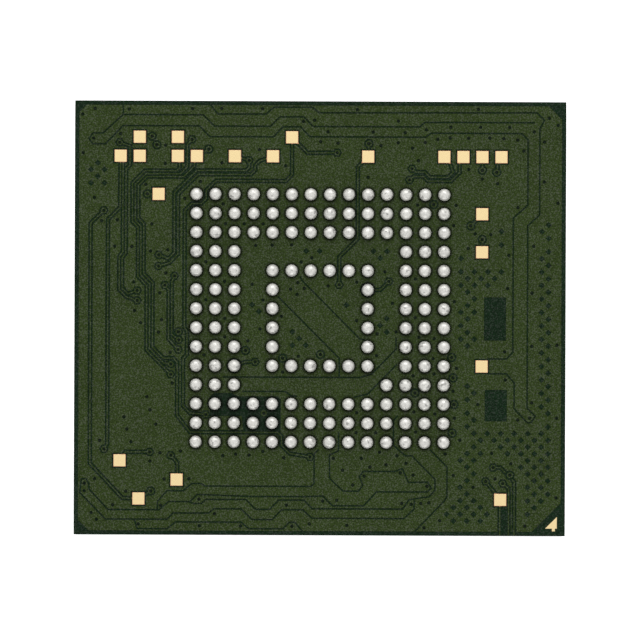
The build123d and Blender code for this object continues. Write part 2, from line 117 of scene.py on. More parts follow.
# Vias straight into the plane, seen as small pits where the mask sinks into them
plane_vias = (
    (-5.35, -4.48), (-6.0, -4.18), (-3.55, -4.45), (-0.23, -4.48), (1.3, -4.5),
    (3.44, -4.5), (8.42, -4.47), (14.78, -4.5), (5.59, -3.84), (6.18, -3.9),
    (10.58, -3.87), (18.5, -4.05), (18.97, -3.68), (13.33, -3.56), (14.9, -3.56),
    (16.42, -3.56), (6.88, -3.3), (9.26, -3.29), (10.93, -3.26), (12.05, -3.42),
    (-4.01, -3.16), (-5.42, -2.92), (13.3, -2.99), (14.27, -2.98), (15.38, -3.0),
    (16.12, -2.97), (16.85, -2.9), (12.65, -2.92), (11.99, -2.75), (10.57, -2.73),
    (9.67, -2.58), (7.41, -2.7), (6.5, -2.78), (11.32, -2.45), (3.29, -2.34),
    (-1.64, -2.56), (-5.97, -2.15), (17.17, -2.33), (11.64, -1.8),
    (1.32, -1.65), (4.67, -1.5), (-1.66, -1.6), (14.28, -1.35), (9.0, -0.92),
    (14.99, -0.85), (15.8, -0.6), (18.25, -2.8), (17.71, -3.33), (18.25, -0.7),
    (18.97, 0.41), (16.87, 0.65), (-5.37, 0.2), (-0.62, 0.23), (-2.67, -0.5),
    (0.2, -0.66), (13.63, 0.55), (11.6, 0.53), (1.39, 0.51), (-4.98, 1.42),
    (-4.16, 1.36), (-2.35, 1.58), (13.5, 1.6), (1.52, 1.55), (2.5, 1.55), (3.5, 1.55),
    (14.63, 2.03), (15.45, 2.07), (17.7, 2.68), (3.11, 2.69), (3.98, 2.67), (5.0, 2.65),
    (-4.29, 2.75), (-3.39, 2.77), (14.27, 2.8), (-2.41, 3.0), (-1.51, 2.93),
    (16.4, 3.16), (0.5, 3.55), (5.5, 3.55), (-1.6, 4.15), (9.9, 4.05), (-3.28, 4.63),
    (1.48, 4.58), (2.93, 4.73), (8.42, 4.6), (6.92, 4.8), (11.5, 4.42), (16.34, 4.9),
    (-1.92, 5.2), (17.63, 5.13), (0.5, 5.55), (3.5, 5.55),
    (10.3, 5.7), (13.55, 5.6), (-3.24, 6.13), (4.47, 6.4), (1.5, 6.52), (8.42, 6.62),
    (-1.82, 6.6), (-2.92, 6.77), (11.5, 6.45), (3.35, 7.07), (-1.98, 7.26),
    (9.5, 7.3), (10.5, 7.2), (1.5, 7.5), (11.7, 7.48), (12.5, 7.55), (2.72, 7.7),
    (17.63, 7.93), (18.95, 7.87), (16.2, 8.23), (-1.36, 8.32), (0.42, 8.45),
    (5.37, 8.5), (9.48, 8.45), (12.45, 8.6), (13.68, 9.1), (12.5, 9.4), (11.4, 9.5),
    (4.55, 9.33), (16.24, 9.7), (-1.25, 9.93), (13.5, 10.3), (-2.57, 10.65),
    (17.63, 10.9), (14.8, 11.0), (-2.41, 11.34), (12.55, 11.5), (-3.77, 11.72),
    (11.45, 11.4), (8.45, 11.45), (13.58, 11.72), (18.94, 11.7), (16.9, 11.8),
    (-2.1, 12.09), (-3.62, 12.35), (8.42, 12.5), (9.45, 12.5), (11.55, 12.45),
    (-5.05, 12.95), (-3.4, 13.02), (13.87, 12.87), (-0.8, 13.5), (-1.88, 13.59),
    (1.42, 13.73), (2.1, 13.65), (2.8, 13.7), (3.53, 13.5), (9.65, 13.52), (4.63, 13.83),
    (7.22, 13.85), (8.7, 13.85), (10.57, 13.7), (13.1, 13.6), (-2.4, 14.03),
    (10.0, 14.18), (9.15, 14.3), (11.05, 14.1), (7.72, 14.47), (16.55, 14.1),
    (10.75, 14.6), (8.85, 14.78), (11.42, 14.72), (13.53, 14.72), (15.72, 14.9),
    (-5.3, 14.96), (-1.65, 14.97), (-0.35, 14.95), (-5.85, 15.2), (-5.85, 15.6),
    (12.15, 15.3), (8.25, 15.25), (-3.67, 15.62), (18.93, 15.88), (6.68, 16.1),
    (7.42, 16.05), (0.18, 16.02), (10.83, 16.2), (11.33, 16.25), (11.83, 16.2),
    (12.25, 16.17), (-4.35, 16.33), (4.78, 16.32), (-1.83, 16.35), (-5.48, 16.75),
    (1.0, 16.78), (12.82, 17.1), (-5.2, 17.1), (-3.0, 17.33), (17.3, 17.37),
    (0.2, 17.42), (2.37, 17.42), (5.07, 17.42), (5.98, 17.3), (7.95, 17.37), (12.0, 17.48),
    (17.53, 11.7), (14.57, 15.34), (15.54, 13.56), (5.33, 4.63), (5.67, 4.93),
    (4.95, 4.97), (5.29, 5.25), (6.06, 3.33),
)

# Degassing holes stand on a lattice turned by 45 degrees, counted from its upper right
# place. Each block is (first column, last column), (first row, last row) of the lattice.
degassing_pitch = 0.25 * MM
lattice_start = (18.49, 1.555)
lattice_step = degassing_pitch * math.sqrt(0.5) / ball_pitch
degassing_blocks = (
    ((0, 1), (0, 41)), ((2, 3), (31, 43)), ((4, 4), (31, 36)), ((5, 10), (31, 34)),
    ((11, 13), (30, 44)), ((9, 10), (42, 44)), ((14, 15), (42, 44)), ((11, 13), (7, 18)),
    ((7, 10), (7, 9)), ((11, 12), (24, 28)), ((66, 68), (-9, -6)), ((34, 36), (4, 5)),
    ((24, 26), (4, 5)), ((36, 38), (16, 18)), ((24, 25), (14, 16)), ((43, 44), (12, 13)),
    ((7, 7), (1, 3)), ((30, 30), (12, 12)), ((11, 11), (29, 29)), ((13, 13), (5, 5)),
)
# Places of those blocks that stay closed
lattice_gaps = {
    (1, 3), (7, 9), (13, 11), (11, 15), (11, 27), (1, 29), (13, 31), (12, 32), (9, 33),
    (13, 33), (8, 34), (13, 37), (11, 39), (35, 5), (36, 16),
}


def length(name, description, default, **limits):
    """A length property in millimetres, kept in metres."""
    return FloatProperty(name=name, description=description, default=default, subtype="DISTANCE",
                         unit="LENGTH", precision=6, **limits)


def colour(name, description, default):
    """A linear colour property."""
    return FloatVectorProperty(name=name, description=description, default=default, subtype="COLOR",
                               size=3, min=0.0, max=1.0)


class ChipSizes(bpy.types.PropertyGroup):
    """Sizes of the details that Blender adds."""

    via_pad: length("Via pad", "Width of a via's pad", 0.17 * MM)
    via_clearance: length("Via clearance", "Bare ring round a via's pad", 0.038 * MM)
    link_width: length("Link width", "Width of the short links from vias to pads", 0.04 * MM)
    via_pit: length("Via pit", "Width of the pit over a via", 0.095 * MM)
    degassing_hole: length("Degassing hole", "Width of a degassing hole", 0.16 * MM)
    dip_depth: length("Dip", "Depth of the mask over etched ground", 0.01 * MM)
    shoulder: length("Shoulder", "Width of the slope where the mask runs up onto copper", 0.0045 * MM)
    slope_depth: length("Slope depth", "Depth of the mask on its slopes", 0.003 * MM)
    pit_depth: length("Pit depth", "Depth of the mask over vias and holes", 0.014 * MM)
    opening: length("Ball opening", "Width of the mask's opening at a ball", 0.27 * MM)
    pad: length("Pad", "Width of a test pad", 0.308 * MM)
    pad_corner: FloatProperty(name="Pad corner", description="Power that eases a test pad's corners",
                              default=0.14, min=0.02, max=1.0)
    pad_opening: length("Pad opening", "Width of the mask's opening at a test pad", 0.34 * MM)
    ball: length("Ball", "Greatest width of a solder ball", 0.3255 * MM)
    ball_sides: IntProperty(name="Ball sides", description="Faces round a solder ball",
                            default=14, min=6)
    ball_spread: FloatProperty(name="Ball spread", description="Greatest share that a ball is narrower",
                               default=0.02, min=0.0, max=0.1)
    ball_sink: FloatProperty(name="Ball sink", description="Greatest share that a ball is lower",
                             default=0.03, min=0.0, max=0.1)
    ball_lean: length("Ball lean", "Width of the range of the balls' tops about their places", 0.012 * MM)
    pit_sides: IntProperty(name="Pit sides", description="Corners of a pit's outline", default=8, min=4)
    via_sides: IntProperty(name="Via sides", description="Corners of a via pad's outline",
                           default=16, min=6)
    pad_points: IntProperty(name="Pad points", description="Points of a test pad's outline",
                            default=32, min=8)


class ChipColours(bpy.types.PropertyGroup):
    """Linear colours of the finishes."""

    mask_raised: colour("Mask over copper", "Solder mask over copper", (0.0195, 0.0325, 0.007))
    mask_dip: colour("Mask over laminate", "Solder mask over etched ground", (0.0034, 0.0125, 0.0042))
    # Painted shade: the slope and pit colours are darkened for shade on slopes, in pits and on walls
    mask_slope_shade: colour("Mask on slopes", "Mask running up onto copper", (0.0035, 0.011, 0.0032))
    mask_pit_shade: colour("Mask in pits", "Solder mask sunk into vias and holes", (0.0024, 0.0075, 0.003))
    gold: colour("Gold", "Gold plating", (0.885, 0.7, 0.38))
    solder: colour("Solder", "Solder balls", (0.572, 0.567, 0.535))
    mould: colour("Mould compound", "Black epoxy moulding compound", (0.008, 0.008, 0.0085))
    laminate: colour("Laminate", "Sawn edge of the board", (0.035, 0.032, 0.016))
    copper: colour("Copper", "Etched copper foil", (0.72, 0.36, 0.22))
    silicon: colour("Silicon", "Dies", (0.16, 0.17, 0.20))
    film: colour("Die film", "Die-attach film", (0.40, 0.28, 0.14))
    floor: colour("Floor", "Studio floor", (0.92, 0.92, 0.92))


def sizes():
    """The size properties of the scene."""
    return bpy.context.scene.chip_sizes


def colours():
    """The colour properties of the scene."""
    return bpy.context.scene.chip_colours


# Places and flat outlines

def sites(places):
    """Positions in metres of (column, row) places, as an (n, 2) array."""
    column, row = np.asarray(places, float).T
    return np.stack([column - grid_middle, grid_middle - row], axis=1) * ball_pitch


def ball_places():
    """Positions in metres of the balls of the ball map."""
    return sites([(c, r) for r, line in enumerate(ball_map) for c, mark in enumerate(line) if mark == "o"])


def degassing_places():
    """Positions in metres of every second place of each lattice block."""
    column, row = lattice_start
    return sites([
        (column - i * lattice_step, row + k * lattice_step)
        for (first, last), (upper, lower) in degassing_blocks
        for i in range(first, last + 1)
        for k in range(upper, lower + 1)
        if (i + k) % 2 == 0 and (i, k) not in lattice_gaps
    ])


def rounds(centres, width, sides, turn=0.5):
    """Regular outlines of one width about each centre, as an (n, sides, 2) array."""
    angles = (np.arange(sides) + turn) * 2 * math.pi / sides
    ring = np.stack([np.cos(angles), np.sin(angles)], axis=1) * width / 2
    return centres[:, None, :] + ring[None]


def squares(centres, width):
    """Square outlines of one width about each centre."""
    return rounds(centres, width * math.sqrt(2), 4)


def strips(routes, width):
    """Rectangles of one width along two-place routes: each end moved half a width to both sides."""
    ends = np.stack([sites(route) for route in routes])
    run = ends[:, 1] - ends[:, 0]
    run /= np.linalg.norm(run, axis=1, keepdims=True)
    side = np.stack([-run[:, 1], run[:, 0]], axis=1) * width / 2
    start, end = ends[:, 0], ends[:, 1]
    return np.stack([start - side, end - side, end + side, start + side], axis=1)


def level_triangles(node, level):
    """A CAD node's triangles that lie flat at one level, as an (n, 3, 2) array."""
    mesh = frame["nodes"][node].data
    points = np.empty(len(mesh.vertices) * 3)
    mesh.vertices.foreach_get("co", points)
    mesh.calc_loop_triangles()
    corners = np.empty(len(mesh.loop_triangles) * 3, int)
    mesh.loop_triangles.foreach_get("vertices", corners)
    triangles = points.reshape(-1, 3)[corners.reshape(-1, 3)]
    tolerance = 1e-3 * MM
    flat = np.all(np.abs(triangles[:, :, 2] - level) < tolerance, axis=1)
    return triangles[flat][:, :, :2]


def shoulders(triangles, width):
    """Quads of one width along the inner side of the outline of a set of flat triangles.

    Each outline corner moves inwards by 2 w m / |m|^2, where m is the sum of the inward unit
    normals of its two edges, so that both edges move by the width w.
    """
    corners, index = np.unique(triangles.reshape(-1, 2), axis=0, return_inverse=True)
    cells = index.reshape(-1, 3)
    first, second = (corners[cells[:, k]] - corners[cells[:, 0]] for k in (1, 2))
    clockwise = first[:, 0] * second[:, 1] < first[:, 1] * second[:, 0]
    cells[clockwise] = cells[clockwise][:, ::-1]
    start, end = cells.ravel(), np.roll(cells, -1, axis=1).ravel()
    outer = ~np.isin(start * len(corners) + end, end * len(corners) + start)
    start, end = start[outer], end[outer]
    run = corners[end] - corners[start]
    run /= np.linalg.norm(run, axis=1, keepdims=True)
    inward = np.stack([-run[:, 1], run[:, 0]], axis=1)
    both = np.zeros_like(corners)
    np.add.at(both, start, inward)
    np.add.at(both, end, inward)

    # Where the two normals nearly cancel out, the move is held to twice the width
    squared = np.maximum((both ** 2).sum(axis=1, keepdims=True), 1.0)
    moved = corners + 2 * width * both / squared
    shifted = moved[end] - moved[start]
    kept = (shifted * run).sum(axis=1) > 0
    return np.stack([corners[start], corners[end], moved[end], moved[start]], axis=1)[kept]


# Meshes

def make_object(name, points, faces, smooth=False):
    """An object at the origin from an array of points and a list of faces, smooth or flat."""
    mesh = bpy.data.meshes.new(name)
    mesh.from_pydata(points.tolist(), [], faces)
    mesh.polygons.foreach_set("use_smooth", np.full(len(mesh.polygons), smooth))
    mesh.validate()
    mesh.update()
    obj = bpy.data.objects.new(name, mesh)
    bpy.context.scene.collection.objects.link(obj)
    return obj


def ringed_solids(name, centres, outline, scales, heights, smooth):
    """Closed upright solids, each a stack of rings of one flat outline.

    Ring k of solid i is centre_ik + scale_ik * outline(t) at height_ik, where outline is an
    (n, 2) array over one turn t. A point in the middle closes the lowest and highest ring.
    """
    count, rings = scales.shape
    n = len(outline)
    flat = centres[:, :, None] + scales[:, :, None, None] * outline
    level = np.broadcast_to(heights[:, :, None, None], (count, rings, n, 1))
    body = np.concatenate([flat, level], axis=3).reshape(count, rings * n, 3)
    ends = np.concatenate([centres, heights[:, :, None]], axis=2)[:, [0, -1]]
    points = np.concatenate([body, ends], axis=1)

    side = np.arange(n)
    following = (side + 1) % n
    band = np.arange(rings - 1)[:, None] * n
    quads = np.stack([band + side, band + following, band + n + following, band + n + side], axis=-1)
    last = (rings - 1) * n
    foot = np.stack([following, side, np.full(n, rings * n)], axis=1)
    crown = np.stack([last + side, last + following, np.full(n, rings * n + 1)], axis=1)
    shift = np.arange(count)[:, None, None] * points.shape[1]
    faces = [face for group in (quads.reshape(-1, 4), foot, crown)
             for face in (group + shift).reshape(-1, group.shape[1]).tolist()]
    return make_object(name, points.reshape(-1, 3), faces, smooth)


def cut_outlines(kinds):
    """Flat outlines cut against each other: points, triangles, and what covers each triangle.

    kinds maps a name to its outlines. The cover maps each name to one truth value a triangle.
    """
    outlines = [outline / MM for group in kinds.values() for outline in group]
    owner = np.repeat(np.arange(len(kinds)), [len(group) for group in kinds.values()])
    ends = np.cumsum([len(outline) for outline in outlines])
    corners = [list(range(end - len(outline), end)) for outline, end in zip(outlines, ends)]
    points = [Vector(point) for point in np.concatenate(outlines)]
    whole_hull, join_within = 0, 1e-6
    flat, _, cells, _, _, sources = delaunay_2d_cdt(points, [], corners, whole_hull, join_within, True)
    flat = np.array([point[:] for point in flat]) * MM
    cells = np.array(cells)
    cell = np.repeat(np.arange(len(cells)), [len(source) for source in sources])
    covered = np.zeros((len(cells), len(kinds)), bool)
    covered[cell, owner[np.concatenate([np.array(source, int) for source in sources])]] = True
    return flat, cells, dict(zip(kinds, covered.T))


def layered_solid(name, kinds, heights_of, levels, wall_layer, marks=()):
    """A closed solid whose top and underside step between levels over flat outlines.

    heights_of turns what covers each triangle of the cut outlines into the numbers of its
    upper and lower level. Where both are 0 the triangle is left open. Walls join each two
    neighbours of unlike levels. The face attribute "layer" holds the upper level's number,
    and wall_layer on walls and underside. Each name in marks becomes a face attribute, 1
    where that kind covers.
    """
    flat, cells, cover = cut_outlines(kinds)
    upper, lower = heights_of(cover)

    # The levels on both sides of each directed edge, with 0 beyond the outline
    start, end = cells.ravel(), np.roll(cells, -1, axis=1).ravel()
    key = start * len(flat) + end
    back = end * len(flat) + start
    order = np.argsort(key)
    found = order[np.minimum(np.searchsorted(key[order], back), len(key) - 1)]
    paired = key[found] == back
    top, under = np.repeat(upper, 3), np.repeat(lower, 3)
    top_beyond = np.where(paired, top[found], 0)
    under_beyond = np.where(paired, under[found], 0)
    above = top > top_beyond
    below = (under < under_beyond) & (top > 0)
    a = np.concatenate([start[above], start[below]])
    b = np.concatenate([end[above], end[below]])
    low = np.concatenate([np.maximum(top_beyond, under)[above], under[below]])
    high = np.concatenate([top[above], np.minimum(under_beyond, top)[below]])

    # Each corner of the solid is a flat point at one level
    count = len(levels)
    solid = upper > 0
    tops = cells[solid] * count + upper[solid][:, None]
    unders = cells[solid][:, ::-1] * count + lower[solid][:, None]
    walls = np.concatenate([
        np.stack([a * count + k + 1, a * count + k, b * count + k, b * count + k + 1], axis=1)[
            (low <= k) & (k < high)]
        for k in range(count - 1)
    ])
    used = np.unique(np.concatenate([tops.ravel(), unders.ravel(), walls.ravel()]))
    place = np.concatenate([flat[used // count], np.asarray(levels)[used % count][:, None]], axis=1)
    faces = [face for group in (tops, unders, walls) for face in np.searchsorted(used, group).tolist()]
    obj = make_object(name, place, faces)
    if len(faces) != len(obj.data.polygons):
        raise RuntimeError(f"{name} lost faces: {len(faces)} became {len(obj.data.polygons)}")
    others = len(unders) + len(walls)
    face_values = {"layer": np.concatenate([upper[solid], np.full(others, wall_layer)])}
    for mark in marks:
        face_values[mark] = np.concatenate([cover[mark][solid], np.zeros(others)])
    for title, values in face_values.items():
        layer = obj.data.attributes.new(title, "FLOAT", "FACE")
        layer.data.foreach_set("value", values.astype(np.float32))
    return obj


# Materials

def new_material(name):
    """A material with a Principled shader: (material, nodes, links, shader)."""
    material = bpy.data.materials.new(name)
    material.use_nodes = True
    nodes = material.node_tree.nodes
    return material, nodes, material.node_tree.links, nodes["Principled BSDF"]


def spread(nodes, links, value, start=(0.0, 1.0), end=(0.0, 1.0)):
    """A value carried over from one range to another, clamped at both ends."""
    node = nodes.new("ShaderNodeMapRange")
    node.inputs["From Min"].default_value, node.inputs["From Max"].default_value = start
    node.inputs["To Min"].default_value, node.inputs["To Max"].default_value = end
    links.new(value, node.inputs["Value"])
    return node.outputs[0]


def reckon(nodes, links, operation, *values):
    """A math node of one operation over sockets and plain numbers."""
    node = nodes.new("ShaderNodeMath")
    node.operation = operation
    for inlet, value in zip(node.inputs, values):
        if isinstance(value, float):
            inlet.default_value = value
        else:
            links.new(value, inlet)
    return node.outputs[0]


def blend(nodes, links, kind, base, other):
    """A colour blended in full with another, such as ADD or MULTIPLY."""
    node = nodes.new("ShaderNodeMix")
    node.data_type = "RGBA"
    node.blend_type = kind
    factor, first, second = (node.inputs[k] for k in (0, 6, 7))
    factor.default_value = 1.0
    links.new(base, first)
    links.new(other, second)
    return node.outputs[2]


def tint(nodes, links, base, factor, low, high):
    """base multiplied by a grey that runs from low to high with factor."""
    return blend(nodes, links, "MULTIPLY", base, spread(nodes, links, factor, end=(low, high)))


def attribute(nodes, name):
    """The value of one of the piece's own attributes."""
    node = nodes.new("ShaderNodeAttribute")
    node.attribute_name = name
    return node.outputs["Fac"]


def plain_colour(nodes, value):
    """An RGB node of one linear colour."""
    node = nodes.new("ShaderNodeRGB")
    node.outputs[0].default_value = (*value, 1.0)
    return node.outputs[0]


def surface(links, shader, base, roughness, metallic=0.0, specular=0.5):
    """The shader's colour from a socket, and its plain values."""
    links.new(base, shader.inputs["Base Color"])
    shader.inputs["Roughness"].default_value = roughness
    shader.inputs["Metallic"].default_value = metallic
    shader.inputs["Specular IOR Level"].default_value = specular


def bump(nodes, links, height, shader, strength, distance):
    """A bump node from a height to the shader's normal."""
    node = nodes.new("ShaderNodeBump")
    node.inputs["Strength"].default_value = strength
    node.inputs["Distance"].default_value = distance
    links.new(height, node.inputs["Height"])
    links.new(node.outputs[0], shader.inputs["Normal"])


def grain_group():
    """A shader node group: noise on Object coordinates, spread about 0.5 by its contrast."""
    if "grain" in bpy.data.node_groups:
        return bpy.data.node_groups["grain"]
    group = bpy.data.node_groups.new("grain", "ShaderNodeTree")
    face = group.interface
    for name, value in (("Scale", 20000.0), ("Detail", 3.0), ("Contrast", 1.0)):
        face.new_socket(name=name, in_out="INPUT", socket_type="NodeSocketFloat").default_value = value
    axes = face.new_socket(name="Stretch", in_out="INPUT", socket_type="NodeSocketVector")
    axes.default_value = (1.0, 1.0, 1.0)
    face.new_socket(name="Fac", in_out="OUTPUT", socket_type="NodeSocketFloat")
    nodes, links = group.nodes, group.links
    inlet = nodes.new("NodeGroupInput")
    outlet = nodes.new("NodeGroupOutput")
    where = nodes.new("ShaderNodeTexCoord")
    stretch = nodes.new("ShaderNodeVectorMath")
    stretch.operation = "MULTIPLY"
    noise = nodes.new("ShaderNodeTexNoise")
    links.new(where.outputs["Object"], stretch.inputs[0])
    links.new(inlet.outputs["Stretch"], stretch.inputs[1])
    links.new(stretch.outputs[0], noise.inputs["Vector"])
    links.new(inlet.outputs["Scale"], noise.inputs["Scale"])
    links.new(inlet.outputs["Detail"], noise.inputs["Detail"])
    centred = reckon(nodes, links, "SUBTRACT", noise.outputs["Fac"], 0.5)
    mottled = reckon(nodes, links, "MULTIPLY_ADD", centred, inlet.outputs["Contrast"], 0.5)
    mottled.node.use_clamp = True
    links.new(mottled, outlet.inputs["Fac"])
    return group


def grain(nodes, scale, detail, contrast, stretch=(1.0, 1.0, 1.0)):
    """The mottled value of one grain group, placed with its own values."""
    node = nodes.new("ShaderNodeGroup")
    node.node_tree = grain_group()
    node.inputs["Scale"].default_value = scale
    node.inputs["Detail"].default_value = detail
    node.inputs["Contrast"].default_value = contrast
    node.inputs["Stretch"].default_value = stretch
    return node.outputs["Fac"]


def shadow_ring_group():
    """A shader node group: 0 at each place of the ball grid, rising to 1 round it, that paints the shadow
    ring round each ball.

    Its two inputs are the radii, in pitches, between which the value rises.
    """
    group = bpy.data.node_groups.new("shadow_ring", "ShaderNodeTree")
    for name, value in (("From", 0.34), ("To", 0.5)):
        socket = group.interface.new_socket(name=name, in_out="INPUT", socket_type="NodeSocketFloat")
        socket.default_value = value
    group.interface.new_socket(name="Fac", in_out="OUTPUT", socket_type="NodeSocketFloat")
    nodes, links = group.nodes, group.links
    inlet = nodes.new("NodeGroupInput")
    outlet = nodes.new("NodeGroupOutput")
    where = nodes.new("ShaderNodeTexCoord")
    cell = nodes.new("ShaderNodeVectorMath")
    cell.operation = "MULTIPLY"
    cell.inputs[1].default_value = (1 / ball_pitch, 1 / ball_pitch, 0.0)
    within = nodes.new("ShaderNodeVectorMath")
    within.operation = "FRACTION"
    off = nodes.new("ShaderNodeVectorMath")
    off.operation = "DISTANCE"
    off.inputs[1].default_value = (0.5, 0.5, 0.0)
    rise = nodes.new("ShaderNodeMapRange")
    rise.interpolation_type = "SMOOTHSTEP"
    links.new(where.outputs["Object"], cell.inputs[0])
    links.new(cell.outputs[0], within.inputs[0])
    links.new(within.outputs[0], off.inputs[0])
    links.new(off.outputs["Value"], rise.inputs["Value"])
    links.new(inlet.outputs["From"], rise.inputs["From Min"])
    links.new(inlet.outputs["To"], rise.inputs["From Max"])
    links.new(rise.outputs[0], outlet.inputs["Fac"])
    return group


def mask_material():
    """Green solder mask: colour by what lies under it, with painted shade in pits, on slopes, on walls and
    round each ball, and the matting agent's fine specks.
    """
    material, nodes, links, shader = new_material("green_mask")
    # The dip and raised colours are the mask over laminate and over copper; the pit and slope colours are
    # painted shade
    ramp = nodes.new("ShaderNodeValToRGB")
    ramp.color_ramp.interpolation = "CONSTANT"
    stops = ((0.0, colours().mask_pit_shade), (0.2, colours().mask_dip), (0.5, colours().mask_slope_shade),
             (0.8, colours().mask_raised))
    while len(ramp.color_ramp.elements) < len(stops):
        ramp.color_ramp.elements.new(0.5)
    for element, (position, value) in zip(ramp.color_ramp.elements, stops):
        element.position = position
        element.color = (*value, 1.0)
    height = spread(nodes, links, attribute(nodes, "layer"), start=(in_pit, raised_level))
    links.new(height, ramp.inputs[0])
    fine = grain(nodes, scale=26000.0, detail=1.0, contrast=3.6)
    broad = grain(nodes, scale=1200.0, detail=4.0, contrast=1.4)
    speckled = tint(nodes, links, ramp.outputs[0], fine, 0.65, 1.35)
    mottled = tint(nodes, links, speckled, broad, 0.86, 1.14)

    # Pale matting specks lie over every part of the mask, and show less where it dips
    specks = grain(nodes, scale=32000.0, detail=0.0, contrast=5.0)
    pale = spread(nodes, links, specks, start=(0.93, 1.0), end=(0.0, 0.025))
    showing = reckon(nodes, links, "MULTIPLY_ADD", height, 0.65, 0.35)
    frosted = blend(nodes, links, "ADD", mottled, reckon(nodes, links, "MULTIPLY", pale, showing))

    # Painted shadow: the mask is darker in a ring round each ball, where the ball shades it
    ring = nodes.new("ShaderNodeGroup")
    ring.node_tree = shadow_ring_group()
    beyond = reckon(nodes, links, "SUBTRACT", 1.0, attribute(nodes, "painted_ball_shadow"))
    clear = reckon(nodes, links, "MAXIMUM", beyond, ring.outputs[0])
    ball_shaded = tint(nodes, links, frosted, clear, 0.2, 1.0)
    surface(links, shader, ball_shaded, roughness=0.42, specular=0.05)
    bump(nodes, links, fine, shader, 0.25, 0.002 * MM)
    return material


def solder_material():
    """Frosted lead-free solder, each ball of its own tone, with a few dark flux specks."""
    material, nodes, links, shader = new_material("frosted_solder")
    fine = grain(nodes, scale=20000.0, detail=3.0, contrast=2.4)
    flux = grain(nodes, scale=9000.0, detail=1.0, contrast=2.7)
    specks = spread(nodes, links, flux, start=(0.87, 1.0))
    base = plain_colour(nodes, colours().solder)
    own = tint(nodes, links, base, attribute(nodes, "tone"), 0.96, 1.04)
    frosted = tint(nodes, links, own, fine, 0.8, 1.14)
    specked = tint(nodes, links, frosted, specks, 1.0, 0.55)
    surface(links, shader, specked, roughness=0.33, metallic=0.25)
    bump(nodes, links, fine, shader, 0.2, 0.004 * MM)
    return material


def gold_material():
    """Soft matte gold plating over nickel, finely grained, made once for all gilt pieces."""
    if "gold_plating" in bpy.data.materials:
        return bpy.data.materials["gold_plating"]
    material, nodes, links, shader = new_material("gold_plating")
    fine = grain(nodes, scale=20000.0, detail=3.0, contrast=1.2)
    base = plain_colour(nodes, colours().gold)
    surface(links, shader, tint(nodes, links, base, fine, 0.93, 1.05), roughness=0.4, metallic=1.0)
    bump(nodes, links, fine, shader, 0.15, 0.002 * MM)
    return material


def mould_material():
    """Black epoxy with glass filler: pale specks where the saw cut through grains."""
    material, nodes, links, shader = new_material("black_epoxy")
    fine = grain(nodes, scale=45000.0, detail=2.0, contrast=3.0)
    filler = grain(nodes, scale=60000.0, detail=0.0, contrast=4.0)
    streaks = grain(nodes, scale=1500.0, detail=4.0, contrast=2.0, stretch=(1.0, 1.0, 40.0))
    grains = spread(nodes, links, filler, start=(0.85, 1.0))
    base = plain_colour(nodes, colours().mould)
    sawn = tint(nodes, links, base, streaks, 0.6, 1.4)
    specked = tint(nodes, links, sawn, grains, 1.0, 5.0)
    surface(links, shader, specked, roughness=0.7, specular=0.25)
    bump(nodes, links, fine, shader, 0.25, 0.003 * MM)
    return material


def laminate_material():
    """Sawn glass-epoxy: glass bundles show as pale dashes along the edge."""
    material, nodes, links, shader = new_material("glass_epoxy")
    weave = grain(nodes, scale=3000.0, detail=3.0, contrast=3.0, stretch=(1.0, 1.0, 8.0))
    base = plain_colour(nodes, colours().laminate)
    surface(links, shader, tint(nodes, links, base, weave, 0.6, 1.7), roughness=0.7, specular=0.1)
    bump(nodes, links, weave, shader, 0.4, 0.004 * MM)
    return material


def plain_material(name, value, metallic, roughness):
    """A finely grained finish of one colour."""
    material, nodes, links, shader = new_material(name)
    fine = grain(nodes, scale=15000.0, detail=2.0, contrast=1.2)
    base = plain_colour(nodes, value)
    surface(links, shader, tint(nodes, links, base, fine, 0.92, 1.08), roughness, metallic)
    return material


def give(obj, material):
    """The object wears that one material."""
    obj.data.materials.clear()
    obj.data.materials.append(material)


# Stage

def studio_floor(half):
    """A white floor that glows a little, reaching half its width to each side."""
    corners = np.array([(-half, -half, 0.0), (half, -half, 0.0), (half, half, 0.0), (-half, half, 0.0)])
    floor = make_object("floor", corners, [[0, 1, 2, 3]])
    material, _, _, shader = new_material("floor_white")
    shader.inputs["Base Color"].default_value = (*colours().floor, 1.0)
    shader.inputs["Roughness"].default_value = 0.9
    shader.inputs["Specular IOR Level"].default_value = 0.0
    shader.inputs["Emission Color"].default_value = (1.0, 1.0, 1.0, 1.0)
    shader.inputs["Emission Strength"].default_value = 0.55
    give(floor, material)


def white_dome(strength):
    """A white world of one strength."""
    world = bpy.data.worlds.new("studio")
    world.use_nodes = True
    background = world.node_tree.nodes["Background"]
    background.inputs["Color"].default_value = (1.0, 1.0, 1.0, 1.0)
    background.inputs["Strength"].default_value = strength
    return world


def soft_panel(scene, name, y, z, power):
    """A wide area light at (0, y, z), turned towards the chip."""
    data = bpy.data.lights.new(name, "AREA")
    data.shape = "RECTANGLE"
    data.size = 0.16
    data.size_y = 0.14
    data.energy = power
    panel = bpy.data.objects.new(name, data)
    scene.collection.objects.link(panel)
    panel.location = (0.0, y, z)
    panel.rotation_euler = (-math.atan2(y, z), 0.0, 0.0)


def photo_camera(scene, pixels, per_mm, centre_px, roll, lens=200.0, sensor=36.0):
    """The photograph's camera, straight above, with per_mm pixels to a millimetre of mask.

    Its distance is width * lens / sensor, where width is what the picture spans, and
    centre_px is the pixel that the middle of the board falls on.
    """
    width = pixels / per_mm * MM
    data = bpy.data.cameras.new("camera")
    data.lens = lens
    data.sensor_width = sensor
    data.clip_start = 0.001
    data.clip_end = 10.0
    camera = bpy.data.objects.new("camera", data)
    scene.collection.objects.link(camera)
    off_x = (pixels / 2 - centre_px[0]) / per_mm * MM
    off_y = (centre_px[1] - pixels / 2) / per_mm * MM
    camera.location = (off_x, off_y, mask_z + width * lens / sensor)
    camera.rotation_euler = (0.0, 0.0, roll)
    return camera


# Operators, one for each group of pieces

